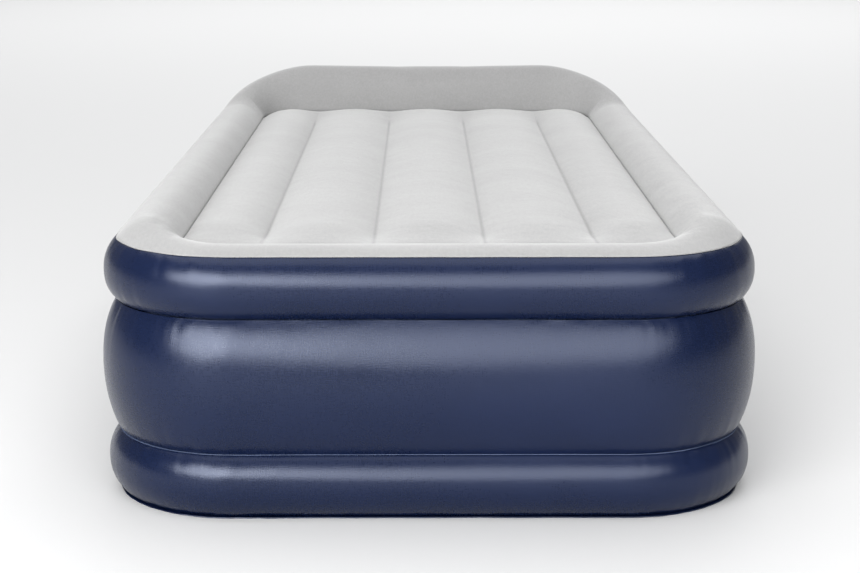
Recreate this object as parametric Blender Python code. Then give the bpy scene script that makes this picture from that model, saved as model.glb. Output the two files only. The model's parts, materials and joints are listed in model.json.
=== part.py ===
"""Raised single air bed with a built-in pillow bolster and a built-in electric pump.

Frame: X across the bed, +Y towards the head end, +Z up, origin on the floor under the middle of
the bed.  All lengths are in metres.  The PVC skins are modelled thicker than they are, at SKIN.
"""

from math import cos, pi, radians, sin, sqrt

import bmesh
import bpy
from mathutils import Matrix, Vector

# Whole bed, measured over the widest bulge of its side walls
HALF_WIDTH = 0.485
HALF_LENGTH = 0.955
CORNER_RADIUS = 0.207

# Skins and the gap left between pieces that touch
SKIN = 0.0015
GAP = 0.0003

# Side walls: heights of the welds, and how far each weld and bulge lies inside the widest bulge
SEAM_Z = 0.3785
SEAM_INSET = 0.026
UPPER_BULGE = (0.0050, 0.334)
UPPER_WAIST_Z = 0.290
WAIST_INSET = 0.023
MIDDLE_BULGE = (0.000, 0.192)
LOWER_WAIST_Z = 0.094
LOWER_BULGE = (0.0040, 0.047)
FLOOR_INSET = 0.026
BULGE_POWER = 2.6
FLANGE = 0.004

# Recess for the sleeper, bounded by the creases where the border meets the sleeping surface
RECESS_HALF_WIDTH = 0.365
RECESS_FOOT_Y = -0.830
RECESS_HEAD_Y = 0.790
RECESS_CORNER = 0.090
VALLEY_Z = 0.367
CROWN = 0.012
CHANNEL_PITCH = 0.162
SEAM_LINES = tuple(CHANNEL_PITCH * step for step in (-1.5, -0.5, 0.5, 1.5))
END_TAPER = 0.060
SHEET_CLEARANCE = 0.0015

# Border crown: rise of its crest above the line from the seam to the crease
FOOT_RISE = 0.016
SIDE_RISE = 0.030
PILLOW_RISE = 0.098
PILLOW_FULLNESS = 0.85

# Internal beams, welded to the sheets above and below them
FLANGE_WIDTH = 0.024
TOP_BEAM_Y = (-0.770, 0.730)
BASE_BEAM_Y = (-0.790, 0.740)
VENT_RADIUS = 0.030
VENT_Y = 0.520

# Mesh resolution
CORNER_STEPS = 6
WALL_STEPS = 4
CROWN_STEPS = 8
CHANNEL_STEPS = 6
LENGTH_STEPS = 10
ROUND_STEPS = 20
MERGE = 1e-6
SMOOTH_ANGLE = radians(40)

# Pump, in its own frame: U right and V up as seen from behind the bed, W out of the head wall
PUMP_CENTRE = (-0.150, 0.944, 0.192)
COLLAR_HALF = (0.116, 0.076)
COLLAR_FRONT = 0.009
COLLAR_BACK = -0.0125
LEDGE_FRONT = -0.0087
PLATE_HALF = (0.106, 0.066)
PLATE_BACK = -0.004
TUB_HALF = (0.0922, 0.0522)
TUB_WALL = 0.0022
TUB_BACK = -0.110
FLANGE_FRONT = -0.0064
FLANGE_BACK = -0.0084
SCREW_PLACE = (0.099, 0.059)
SCREW_RADIUS = 0.0014
SCREW_HEAD = 0.0030
BAY_CENTRE_U = -0.0605
BAY_HALF = (0.026, 0.0465)
BAY_DEPTH = 0.056
BAY_WALL = 0.002
DOOR_HALF_HEIGHT = 0.0461
DOOR_THICKNESS = 0.0026
DOOR_AXIS = (-0.0840, -0.0020)
BARREL_RADIUS = 0.0019
PIN_RADIUS = 0.0008
PIN_HOLE = 0.0011
DIAL_CENTRE = (0.068, 0.012)
DIAL_RADIUS = 0.0253
SPINDLE_RADIUS = 0.004
VALVE_DISC = (0.021, -0.0435, -0.0405)
SWITCH_CENTRE = (0.004, 0.037)
SWITCH_HALF = (0.0064, 0.0103)
ROCKER_PIVOT_W = -0.0010
ROCKER_TILT = radians(7)
FAN_CENTRE = (0.004, -0.013)
FAN_CASE_RADIUS = 0.034
SHAFT_RADIUS = 0.0013
SHAFT_HOLE = 0.0016
MOTOR_RADIUS = 0.017
GRILLE_HALF = (0.022, 0.0190)
OUTLET_CENTRE = (0.060, -0.014)
FLAP_AXIS_V = 0.0195
FLAP_AXIS_W = -0.1145
OUTLET_BORE = 0.0085
OUTLET_TUBE = 0.0110


def clear_scene():
    """Remove every object that the file opens with."""
    for old in list(bpy.data.objects):
        bpy.data.objects.remove(old, do_unlink=True)


def principled(name, colour, roughness, metallic=0.0):
    """A plain material in the piece's own colour and finish."""
    surface = bpy.data.materials.new(name)
    surface.use_nodes = True
    shader = surface.node_tree.nodes["Principled BSDF"]
    shader.inputs["Base Color"].default_value = (*colour, 1.0)
    shader.inputs["Roughness"].default_value = roughness
    shader.inputs["Metallic"].default_value = metallic
    return surface


def make_piece(name, bm, surface, parent=None, location=(0, 0, 0), rotation=(0, 0, 0)):
    """Turn a closed bmesh into a named object with one material."""
    bmesh.ops.recalc_face_normals(bm, faces=bm.faces)
    mesh = bpy.data.meshes.new(name)
    bm.to_mesh(mesh)
    bm.free()
    mesh.shade_smooth()
    mesh.set_sharp_from_angle(angle=SMOOTH_ANGLE)
    mesh.materials.append(surface)
    piece = bpy.data.objects.new(name, mesh)
    bpy.context.collection.objects.link(piece)
    piece.parent = parent
    piece.location = location
    piece.rotation_euler = rotation
    return piece


def combine(piece, operation, bm, name, parent=None, location=(0, 0, 0)):
    """Cut a piece with a hidden body, or join one to it."""
    tool = make_piece(name, bm, piece.data.materials[0], parent, location)
    tool.hide_render = True
    tool.display_type = "WIRE"
    modifier = piece.modifiers.new(name, "BOOLEAN")
    modifier.operation = operation
    modifier.solver = "EXACT"
    modifier.object = tool


def rounded_rectangle(half_x, low_y, high_y, radius, side_steps=1, end_steps=1):
    """Plan points of a rounded rectangle, anticlockwise from the foot end of its right side."""
    corners = (
        (half_x - radius, high_y - radius, 0.0, end_steps),
        (radius - half_x, high_y - radius, 90.0, side_steps),
        (radius - half_x, low_y + radius, 180.0, end_steps),
        (half_x - radius, low_y + radius, 270.0, side_steps),
    )
    arcs = []
    for x, y, start, _ in corners:
        angles = [radians(start + 90.0 * step / CORNER_STEPS) for step in range(CORNER_STEPS + 1)]
        arcs.append([Vector((x + radius * cos(a), y + radius * sin(a))) for a in angles])
    points = []
    for arc, following, corner in zip(arcs, arcs[1:] + arcs[:1], corners):
        steps = corner[3]
        points += arc
        points += [arc[-1].lerp(following[0], step / steps) for step in range(1, steps)]
    return points


def level(points, height):
    """The same plan points at one height."""
    return [(point[0], point[1], height) for point in points]


def joined_loops(bm, loops, closed):
    """Skin each loop of points to the next with quads; `closed` also joins the last to the first."""
    vert_loops = [[bm.verts.new(point) for point in loop] for loop in loops]
    following = vert_loops[1:] + vert_loops[:1] if closed else vert_loops[1:]
    for here, there in zip(vert_loops, following):
        for number, vert in enumerate(here):
            bm.faces.new((here[number - 1], vert, there[number], there[number - 1]))
    return vert_loops


def loft_ring(loops):
    """A hollow ring lofted through loops taken in order round its section."""
    bm = bmesh.new()
    joined_loops(bm, loops, closed=True)
    return bm


def loft_solid(loops, bm=None):
    """A body lofted through loops and closed by a flat face at each end."""
    bm = bm or bmesh.new()
    vert_loops = joined_loops(bm, loops, closed=False)
    for end in (vert_loops[0], vert_loops[-1]):
        bm.faces.new(end)
    return bm


def plate(outline, low, high, bm=None):
    """A flat plate of the given outline between two heights."""
    return loft_solid([level(outline, low), level(outline, high)], bm)


def pump_outline(half, radius):
    """Rounded rectangle centred on the pump, from its two half sizes."""
    return rounded_rectangle(half[0], -half[1], half[1], radius)


def add_block(bm, size, centre):
    """Add a box to a bmesh."""
    matrix = Matrix.Translation(centre) @ Matrix.Diagonal((*size, 1.0))
    bmesh.ops.create_cube(bm, size=1.0, matrix=matrix)


def add_rod(bm, radius, length, centre, turn=Matrix.Identity(4), steps=ROUND_STEPS):
    """Add a round rod to a bmesh, along Z before it is turned."""
    bmesh.ops.create_cone(
        bm,
        cap_ends=True,
        segments=steps,
        radius1=radius,
        radius2=radius,
        depth=length,
        matrix=Matrix.Translation(centre) @ turn,
    )


def turned(profile, steps=ROUND_STEPS):
    """A body of revolution about Z from (radius, height) points.

    A profile that starts and ends on the axis makes a solid body; any other closes into a ring.
    """
    bm = bmesh.new()
    verts = [bm.verts.new((radius, 0.0, height)) for radius, height in profile]
    edges = [bm.edges.new(pair) for pair in zip(verts, verts[1:])]
    if profile[0][0] > 0.0:
        edges.append(bm.edges.new((verts[-1], verts[0])))
    bmesh.ops.spin(
        bm,
        geom=verts + edges,
        cent=(0, 0, 0),
        axis=(0, 0, 1),
        dvec=(0, 0, 0),
        angle=2 * pi,
        steps=steps,
        use_merge=True,
    )
    bmesh.ops.remove_doubles(bm, verts=bm.verts, dist=MERGE)
    return bm


def sleeve(inner, outer, low, high):
    """Profile of a plain tube."""
    return ((inner, low), (outer, low), (outer, high), (inner, high))


def smoothstep(value, start, end):
    """Rise smoothly from 0 at `start` to 1 at `end`."""
    part = min(1.0, max(0.0, (value - start) / (end - start)))
    return part * part * (3.0 - 2.0 * part)


# ---------------------------------------------------------------------------- skins


def bed_loop(inset, height):
    """Level loop round the bed, `inset` inside its widest bulge."""
    half_length = HALF_LENGTH - inset
    outline = rounded_rectangle(HALF_WIDTH - inset, -half_length, half_length, CORNER_RADIUS - inset)
    return level(outline, height)


def side_wall(name, low, bulge, high, surface):
    """One ring of the side wall, swelling to `bulge` between two welds, each (inset, height)."""
    profile = []
    for step in range(-WALL_STEPS, WALL_STEPS + 1):
        part = abs(step) / WALL_STEPS
        end = low if step < 0 else high
        inset = bulge[0] + (end[0] - bulge[0]) * part**BULGE_POWER
        profile.append((inset, bulge[1] + (end[1] - bulge[1]) * part))
    outer = [bed_loop(inset, height) for inset, height in profile]
    inner = [bed_loop(inset + SKIN, height) for inset, height in reversed(profile)]
    return make_piece(name, loft_ring(outer + inner), surface)


def border_rise(crest_y, pillow):
    """Rise of the border's crest: low at the foot, highest at the pillow."""
    rise = FOOT_RISE + (SIDE_RISE - FOOT_RISE) * smoothstep(crest_y, -0.88, -0.74)
    return rise + (PILLOW_RISE - SIDE_RISE) * pillow


def border_skin(surface):
    """Flocked border and pillow bolster, from the seam over its crown to the recess crease."""
    half_length = HALF_LENGTH - SEAM_INSET
    steps = {"side_steps": 8, "end_steps": 4}
    seam = rounded_rectangle(
        HALF_WIDTH - SEAM_INSET, -half_length, half_length, CORNER_RADIUS - SEAM_INSET, **steps
    )
    crease = rounded_rectangle(RECESS_HALF_WIDTH, RECESS_FOOT_Y, RECESS_HEAD_Y, RECESS_CORNER, **steps)

    def crown_loop(step, thickness):
        part = step / CROWN_STEPS
        loop = []
        for outer, inner in zip(seam, crease):
            crest_y = (outer.y + inner.y) / 2
            pillow = smoothstep(crest_y, 0.70, 0.85)
            rounded = (1.0 - cos(pi * part)) / 2.0 - part
            across = part + rounded * PILLOW_FULLNESS * pillow
            shift = (inner - outer).normalized() * thickness
            place = (outer + shift).lerp(inner - shift, across)
            base = SEAM_Z + GAP + (VALLEY_Z - SKIN - SEAM_Z - GAP) * across
            rise = border_rise(crest_y, pillow) - thickness
            loop.append((place.x, place.y, base + rise * sin(pi * part)))
        return loop

    outer_loops = [crown_loop(step, 0.0) for step in range(CROWN_STEPS + 1)]
    inner_loops = [crown_loop(step, SKIN) for step in reversed(range(CROWN_STEPS + 1))]
    return make_piece("border_and_pillow", loft_ring(outer_loops + inner_loops), surface)


def recess_reach(x, end_y, direction):
    """Y of the sleeping surface's edge at x, following the recess's rounded corners."""
    corner = RECESS_CORNER - SHEET_CLEARANCE
    into_corner = max(0.0, abs(x) - (RECESS_HALF_WIDTH - RECESS_CORNER))
    depth = corner - sqrt(max(0.0, corner**2 - min(into_corner, corner) ** 2))
    return end_y - direction * (SHEET_CLEARANCE + depth)


def sleeping_surface(surface):
    """Flocked top sheet, crowned between the lines where the beams hold it down."""
    edge = RECESS_HALF_WIDTH - SHEET_CLEARANCE
    lines = (-edge, *SEAM_LINES, edge)
    columns = CHANNEL_STEPS * (len(lines) - 1)
    bm = bmesh.new()
    bmesh.ops.create_grid(bm, x_segments=columns, y_segments=LENGTH_STEPS, size=0.5)
    for vert in bm.verts:
        column = round((vert.co.x + 0.5) * columns)
        channel = min(column // CHANNEL_STEPS, len(lines) - 2)
        part = column / CHANNEL_STEPS - channel
        x = lines[channel] + (lines[channel + 1] - lines[channel]) * part
        foot = recess_reach(x, RECESS_FOOT_Y, -1.0)
        head = recess_reach(x, RECESS_HEAD_Y, 1.0)
        y = foot + (head - foot) * (1.0 - cos(pi * (vert.co.y + 0.5))) / 2.0
        taper = smoothstep(min(y - RECESS_FOOT_Y, RECESS_HEAD_Y - y), 0.0, END_TAPER)
        vert.co = (x, y, VALLEY_Z + CROWN * taper * sin(pi * part))
    top = bm.faces[:]
    extruded = bmesh.ops.extrude_face_region(bm, geom=top)["geom"]
    lower = [part for part in extruded if isinstance(part, bmesh.types.BMVert)]
    bmesh.ops.translate(bm, verts=lower, vec=(0, 0, -SKIN))
    return make_piece("sleeping_surface", bm, surface)


def diaphragm(name, height, surface):
    """Level inner sheet welded into a waist, with vents that let the air pass."""
    low = height - SKIN / 2
    outline = bed_loop(WAIST_INSET - FLANGE, 0.0)
    sheet = make_piece(name, plate(outline, low, low + SKIN), surface)
    vents = bmesh.new()
    for x in (-CHANNEL_PITCH, 0.0, CHANNEL_PITCH):
        for y in (-VENT_Y, VENT_Y):
            add_rod(vents, VENT_RADIUS, 10 * SKIN, (x, y, height))
    combine(sheet, "DIFFERENCE", vents, name + "_vents")


def bottom_sheet(surface):
    """Ground sheet, reaching past the lower wall as the base weld's flange."""
    outline = bed_loop(FLOOR_INSET - FLANGE, 0.0)
    make_piece("bottom_sheet", plate(outline, 0.0, SKIN), surface)


# ---------------------------------------------------------------------------- beams


def beam(name, low, high, length, centre, surface, across=False):
    """Upright I-section strip between two sheets, along Y or, when `across`, along X."""
    wide = FLANGE_WIDTH / 2
    thin = SKIN / 2
    right = ((wide, low), (wide, low + SKIN), (thin, low + SKIN), (thin, high - SKIN), (wide, high - SKIN))
    right += ((wide, high),)
    section = right + tuple((-x, z) for x, z in reversed(right))
    ends = [[(x, y, z) for x, z in section] for y in (-length / 2, length / 2)]
    turn = (0.0, 0.0, pi / 2 if across else 0.0)
    make_piece(name, loft_solid(ends), surface, location=(*centre, 0.0), rotation=turn)


def beam_row(prefix, low, high, span, surface):
    """Four beams, one under each seam line of the sleeping surface."""
    for number, x in enumerate(SEAM_LINES, start=1):
        beam(f"{prefix}_{number}", low, high, span[1] - span[0], (x, (span[0] + span[1]) / 2), surface)


def recess_webs(low, high, surface):
    """Strips under the recess crease that hold the border away from the sleeping surface."""
    middle_y = (RECESS_FOOT_Y + RECESS_HEAD_Y) / 2
    side_length = RECESS_HEAD_Y - RECESS_FOOT_Y - 2 * RECESS_CORNER
    end_length = 2 * (RECESS_HALF_WIDTH - RECESS_CORNER)
    beam("border_web_left", low, high, side_length, (-RECESS_HALF_WIDTH, middle_y), surface)
    beam("border_web_right", low, high, side_length, (RECESS_HALF_WIDTH, middle_y), surface)
    beam("border_web_foot", low, high, end_length, (0.0, RECESS_FOOT_Y), surface, across=True)
    beam("border_web_head", low, high, end_length, (0.0, RECESS_HEAD_Y), surface, across=True)


def build_bed(flock, vinyl, inner_vinyl):
    """Skins, inner sheets and beams."""
    half = SKIN / 2 + GAP
    sleeping_surface(flock)
    border_skin(flock)
    side_wall(
        "upper_wall",
        (WAIST_INSET, UPPER_WAIST_Z + half),
        UPPER_BULGE,
        (SEAM_INSET, SEAM_Z),
        vinyl,
    )
    middle = side_wall(
        "middle_wall",
        (WAIST_INSET, LOWER_WAIST_Z + half),
        MIDDLE_BULGE,
        (WAIST_INSET, UPPER_WAIST_Z - half),
        vinyl,
    )
    side_wall(
        "lower_wall",
        (FLOOR_INSET, SKIN + GAP),
        LOWER_BULGE,
        (WAIST_INSET, LOWER_WAIST_Z - half),
        vinyl,
    )
    bottom_sheet(vinyl)
    diaphragm("upper_diaphragm", UPPER_WAIST_Z, inner_vinyl)
    diaphragm("lower_diaphragm", LOWER_WAIST_Z, inner_vinyl)
    beam_top = VALLEY_Z - SKIN - GAP
    beam_row("top_beam", UPPER_WAIST_Z + half, beam_top, TOP_BEAM_Y, inner_vinyl)
    recess_webs(UPPER_WAIST_Z + half, beam_top, inner_vinyl)
    beam_row("middle_beam", LOWER_WAIST_Z + half, UPPER_WAIST_Z - half, BASE_BEAM_Y, inner_vinyl)
    beam_row("lower_beam", SKIN + GAP, LOWER_WAIST_Z - half, BASE_BEAM_Y, inner_vinyl)
    return middle


# ---------------------------------------------------------------------------- pump casing


def pump_frame():
    """Empty at the pump's centre: local X right, Y up and Z out, seen from behind the bed."""
    frame = bpy.data.objects.new("pump_frame", None)
    bpy.context.collection.objects.link(frame)
    frame.location = PUMP_CENTRE
    frame.rotation_euler = (pi / 2, 0.0, pi)
    return frame


def pump_collar(frame, surface):
    """Stiff collar welded into the wall, with a ledge that the pump's flange is screwed to."""
    opening = (PLATE_HALF[0] + 2 * GAP, PLATE_HALF[1] + 2 * GAP)
    ledge = (TUB_HALF[0] + 0.0018, TUB_HALF[1] + 0.0018)
    steps = (
        (COLLAR_HALF, 0.018, COLLAR_FRONT),
        (COLLAR_HALF, 0.018, COLLAR_BACK),
        (ledge, 0.008, COLLAR_BACK),
        (ledge, 0.008, LEDGE_FRONT),
        (opening, 0.0106, LEDGE_FRONT),
        (opening, 0.0106, COLLAR_FRONT),
    )
    loops = [level(pump_outline(half, radius), height) for half, radius, height in steps]
    collar = make_piece("pump_collar", loft_ring(loops), surface, frame)
    combine(collar, "DIFFERENCE", screw_cutters(SCREW_RADIUS + GAP), "collar_screw_holes", frame)


def screw_places():
    """The four screw centres."""
    return [(u, v) for u in (-SCREW_PLACE[0], SCREW_PLACE[0]) for v in (-SCREW_PLACE[1], SCREW_PLACE[1])]


def screw_cutters(radius):
    """Four rods through everything that the screws pass through."""
    bm = bmesh.new()
    for u, v in screw_places():
        add_rod(bm, radius, 0.04, (u, v, 0.0), steps=12)
    return bm


def faceplate(frame, surface):
    """Front plate with openings for the cord bay, dial, switch, grille and screws."""
    blank = plate(pump_outline(PLATE_HALF, 0.010), PLATE_BACK, 0.0)
    panel = make_piece("pump_faceplate", blank, surface, frame)
    combine(panel, "DIFFERENCE", screw_cutters(SCREW_RADIUS + GAP), "faceplate_screw_holes", frame)
    counterbores = bmesh.new()
    for u, v in screw_places():
        add_rod(counterbores, SCREW_HEAD + GAP, 0.004, (u, v, 0.0), steps=16)
    combine(panel, "DIFFERENCE", counterbores, "faceplate_counterbores", frame)
    windows = bmesh.new()
    deep = 0.02
    add_block(windows, (2 * BAY_HALF[0], 2 * BAY_HALF[1], deep), (BAY_CENTRE_U, 0.0, 0.0))
    add_block(windows, (2 * SWITCH_HALF[0], 2 * SWITCH_HALF[1], deep), (*SWITCH_CENTRE, 0.0))
    add_block(windows, (2 * GRILLE_HALF[0], 2 * GRILLE_HALF[1], deep), (*FAN_CENTRE, 0.0))
    add_rod(windows, DIAL_RADIUS + 2 * GAP, deep, (*DIAL_CENTRE, 0.0), steps=32)
    combine(panel, "DIFFERENCE", windows, "faceplate_windows", frame)
    notch = bmesh.new()
    add_rod(notch, 0.007, deep, (BAY_CENTRE_U + BAY_HALF[0], 0.0, 0.0))
    combine(panel, "DIFFERENCE", notch, "faceplate_finger_notch", frame)
    combine(panel, "DIFFERENCE", door_pin_hole(2 * BAY_HALF[1] + 0.010), "faceplate_pin_holes", frame)


def door_pin_hole(length):
    """Rod along the cord bay door's axis."""
    bm = bmesh.new()
    add_rod(bm, PIN_HOLE, length, (DOOR_AXIS[0], 0.0, DOOR_AXIS[1]), Matrix.Rotation(pi / 2, 4, "X"), 12)
    return bm


def gasket(frame, surface):
    """Rubber frame squeezed between the faceplate and the housing's flange."""
    outer = (0.0965, 0.0565)
    inner = (0.0928, 0.0528)
    top = PLATE_BACK - GAP
    bottom = FLANGE_FRONT + GAP
    steps = ((outer, 0.006, top), (outer, 0.006, bottom), (inner, 0.004, bottom), (inner, 0.004, top))
    loops = [level(pump_outline(half, radius), height) for half, radius, height in steps]
    make_piece("pump_gasket", loft_ring(loops), surface, frame)


def housing(frame, surface):
    """Flanged tub that closes the pump off from the air chamber."""
    inner = (TUB_HALF[0] - TUB_WALL, TUB_HALF[1] - TUB_WALL)
    rim = (PLATE_HALF[0] - GAP, PLATE_HALF[1] - GAP)
    steps = (
        (inner, 0.003, TUB_BACK + TUB_WALL),
        (inner, 0.003, FLANGE_FRONT),
        (rim, 0.010, FLANGE_FRONT),
        (rim, 0.010, FLANGE_BACK),
        (TUB_HALF, 0.005, FLANGE_BACK),
        (TUB_HALF, 0.005, TUB_BACK),
    )
    loops = [level(pump_outline(half, radius), height) for half, radius, height in steps]
    tub = make_piece("pump_housing", loft_solid(loops), surface, frame)
    holes = screw_cutters(SCREW_RADIUS + GAP)
    add_rod(holes, OUTLET_TUBE + 2 * GAP, 0.02, (*OUTLET_CENTRE, TUB_BACK))
    combine(tub, "DIFFERENCE", holes, "housing_holes", frame)


def screws(frame, surface):
    """Four screws through the faceplate into the collar's ledge."""
    profile = (
        (0.0, -0.0116),
        (SCREW_RADIUS, -0.0112),
        (SCREW_RADIUS, -0.0016),
        (SCREW_HEAD, -0.0016),
        (SCREW_HEAD * 0.8, -0.0002),
        (0.0, -0.0002),
    )
    for number, (u, v) in enumerate(screw_places(), start=1):
        make_piece(f"faceplate_screw_{number}", turned(profile, 12), surface, frame, (u, v, 0.0))


def intake_grille(frame, surface):
    """Slotted plate over the fan's intake."""
    outline = pump_outline((GRILLE_HALF[0] - GAP, GRILLE_HALF[1] - GAP), 0.002)
    place = (*FAN_CENTRE, 0.0)
    grille = make_piece("intake_grille", plate(outline, -0.0036, -0.0006), surface, frame, place)
    slots = bmesh.new()
    for row in range(-2, 3):
        add_block(slots, (0.034, 0.0034, 0.02), (0.0, 0.0066 * row, 0.0))
    combine(grille, "DIFFERENCE", slots, "grille_slots", frame, place)


# ---------------------------------------------------------------------------- cord bay


def cord_bay(frame, surface):
    """Open box behind the door where the mains cord is stowed, with a hole for its gland."""
    front = PLATE_BACK - GAP
    back = front - BAY_DEPTH - BAY_WALL
    outer = (BAY_HALF[0] + BAY_WALL, BAY_HALF[1] + BAY_WALL)
    steps = (
        (BAY_HALF, 0.002, back + BAY_WALL),
        (BAY_HALF, 0.002, front),
        (outer, 0.004, front),
        (outer, 0.004, back),
    )
    loops = [level(pump_outline(half, radius), height) for half, radius, height in steps]
    place = (BAY_CENTRE_U, 0.0, 0.0)
    bay = make_piece("cord_bay", loft_solid(loops), surface, frame, place)
    hole = bmesh.new()
    add_rod(hole, 0.0063, 0.02, (0.0, -0.022, back))
    combine(bay, "DIFFERENCE", hole, "cord_bay_gland_hole", frame, place)


def cord_gland(frame, surface):
    """Flanged bush that the mains cord would pass through."""
    back = PLATE_BACK - GAP - BAY_DEPTH
    profile = (
        (0.0032, back - 0.006),
        (0.0060, back - 0.006),
        (0.0060, back + GAP),
        (0.0085, back + GAP),
        (0.0085, back + 0.0025),
        (0.0050, back + 0.0070),
        (0.0032, back + 0.0070),
    )
    make_piece("cord_gland", turned(profile), surface, frame, (BAY_CENTRE_U, -0.022, 0.0))


def hinged_plate(reach, half_height, thickness, front, steps=12):
    """Plate with a round barrel along its edge; the barrel's axis is local Z, the plate runs +X."""
    start = radians(30)
    arc = [start + (2 * pi - 2 * start) * step / steps for step in range(steps + 1)]
    outline = [(BARREL_RADIUS * cos(a), BARREL_RADIUS * sin(a)) for a in arc]
    back = front - thickness
    outline = [point for point in outline if point[0] < BARREL_RADIUS * 0.8]
    outline += [(BARREL_RADIUS, back), (reach, back), (reach, front), (BARREL_RADIUS, front)]
    return plate(outline, -half_height, half_height)


def cord_bay_door(frame, surface, steel):
    """Door over the cord bay, with its barrel on a steel pin."""
    place = (DOOR_AXIS[0], 0.0, DOOR_AXIS[1])
    upright = (-pi / 2, 0.0, 0.0)
    reach = BAY_CENTRE_U + BAY_HALF[0] - 2 * GAP - DOOR_AXIS[0]
    front = -0.0004 - DOOR_AXIS[1]
    leaf = hinged_plate(reach, DOOR_HALF_HEIGHT, DOOR_THICKNESS, -front + DOOR_THICKNESS)
    door = make_piece("cord_bay_door", leaf, surface, frame, place, upright)
    combine(door, "DIFFERENCE", door_pin_hole(0.11), "door_bore", frame)
    pin = bmesh.new()
    add_rod(pin, PIN_RADIUS, 2 * BAY_HALF[1] + 0.008, (0, 0, 0), steps=12)
    make_piece("door_hinge_pin", pin, steel, frame, place, upright)


# ---------------------------------------------------------------------------- controls


def control_dial(frame, surface, inner_surface):
    """Dial with a grip bar, its spindle and the air valve disc that it turns."""
    body = ((0.0, -0.0030), (0.0240, -0.0030), (DIAL_RADIUS, -0.0018), (DIAL_RADIUS, 0.0020))
    body += ((0.0240, 0.0032), (0.0, 0.0032))
    place = (*DIAL_CENTRE, 0.0)
    dial = make_piece("control_dial", turned(body, 32), surface, frame, place)
    grip = bmesh.new()
    add_block(grip, (0.009, 0.042, 0.0075), (0.0, 0.0, 0.0047))
    bmesh.ops.bevel(grip, geom=grip.edges[:], offset=0.0015, segments=2, affect="EDGES")
    combine(dial, "UNION", grip, "dial_grip", frame, place)
    radius, back, front = VALVE_DISC
    rod = ((0.0, front + GAP), (SPINDLE_RADIUS, front + GAP), (SPINDLE_RADIUS, -0.0033), (0.0, -0.0033))
    make_piece("dial_spindle", turned(rod), inner_surface, frame, place)
    blank = ((0.0, back), (radius, back), (radius, front), (0.0, front))
    disc = make_piece("air_valve_disc", turned(blank, 32), inner_surface, frame, place)
    ports = bmesh.new()
    for side in (-1, 1):
        add_rod(ports, 0.006, 0.02, (0.0125 * side, 0.0, front))
    combine(disc, "DIFFERENCE", ports, "valve_disc_ports", frame, place)


def rocker_switch(frame, surface, inner_surface):
    """Rocker on its pivot, over the switch's contact block."""
    half = 0.0088
    arc = [(half * cos(a), ROCKER_PIVOT_W - 0.0022 * sin(a)) for a in (pi * k / 6 for k in range(7))]
    outline = [(-half, 0.0034), (0.0, 0.0014), (half, 0.0034)] + [(v, w - ROCKER_PIVOT_W) for v, w in arc]
    depth = SWITCH_HALF[0] - 2 * GAP
    ends = [[(u, v, w) for v, w in outline] for u in (-depth, depth)]
    place = (*SWITCH_CENTRE, ROCKER_PIVOT_W)
    make_piece("rocker_switch", loft_solid(ends), surface, frame, place, (ROCKER_TILT, 0.0, 0.0))
    block = bmesh.new()
    add_block(block, (0.0126, 0.0204, 0.016), (0.0, 0.0, PLATE_BACK - GAP - 0.008))
    make_piece("switch_block", block, inner_surface, frame, (*SWITCH_CENTRE, 0.0))


# ---------------------------------------------------------------------------- blower


def blower(frame, casing_surface, steel, dark):
    """Fan casing, impeller, shaft, motor and its end cap on one axis."""
    place = (*FAN_CENTRE, 0.0)
    case = (
        (0.0140, -0.0260),
        (FAN_CASE_RADIUS, -0.0260),
        (FAN_CASE_RADIUS, -0.0460),
        (0.0100, -0.0460),
        (0.0100, -0.0440),
        (0.0322, -0.0440),
        (0.0322, -0.0280),
        (0.0140, -0.0280),
    )
    casing = make_piece("blower_casing", turned(case, 28), casing_surface, frame, place)
    outlet = bmesh.new()
    add_block(outlet, (0.02, 0.016, 0.010), (FAN_CASE_RADIUS, -0.012, -0.0360))
    combine(casing, "DIFFERENCE", outlet, "casing_outlet", frame, place)

    wheel = ((SHAFT_HOLE, -0.0330), (0.0060, -0.0330), (0.0060, -0.0410), (0.0290, -0.0410))
    wheel += ((0.0290, -0.0425), (SHAFT_HOLE, -0.0425))
    impeller = make_piece("impeller", turned(wheel, 28), casing_surface, frame, place)
    blades = bmesh.new()
    for number in range(8):
        turn = Matrix.Rotation(2 * pi * number / 8, 4, "Z") @ Matrix.Translation((0.0165, 0.0, -0.0365))
        blade = turn @ Matrix.Diagonal((0.023, 0.0014, 0.010, 1.0))
        bmesh.ops.create_cube(blades, size=1.0, matrix=blade)
    combine(impeller, "UNION", blades, "impeller_blades", frame, place)

    shaft = ((0.0, -0.0900), (SHAFT_RADIUS, -0.0900), (SHAFT_RADIUS, -0.0320), (0.0, -0.0320))
    make_piece("motor_shaft", turned(shaft, 12), steel, frame, place)
    rotor = sleeve(SHAFT_HOLE, 0.0125, -0.0800, -0.0520)
    make_piece("motor_rotor", turned(rotor), dark, frame, place)
    can = (
        (SHAFT_HOLE + GAP, -0.0463),
        (MOTOR_RADIUS, -0.0463),
        (MOTOR_RADIUS, -0.0860),
        (MOTOR_RADIUS - 0.0012, -0.0860),
        (MOTOR_RADIUS - 0.0012, -0.0475),
        (SHAFT_HOLE + GAP, -0.0475),
    )
    make_piece("motor_can", turned(can), steel, frame, place)
    cap = sleeve(SHAFT_HOLE + GAP, MOTOR_RADIUS, -0.0893, -0.0863)
    make_piece("motor_end_cap", turned(cap), dark, frame, place)


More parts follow.
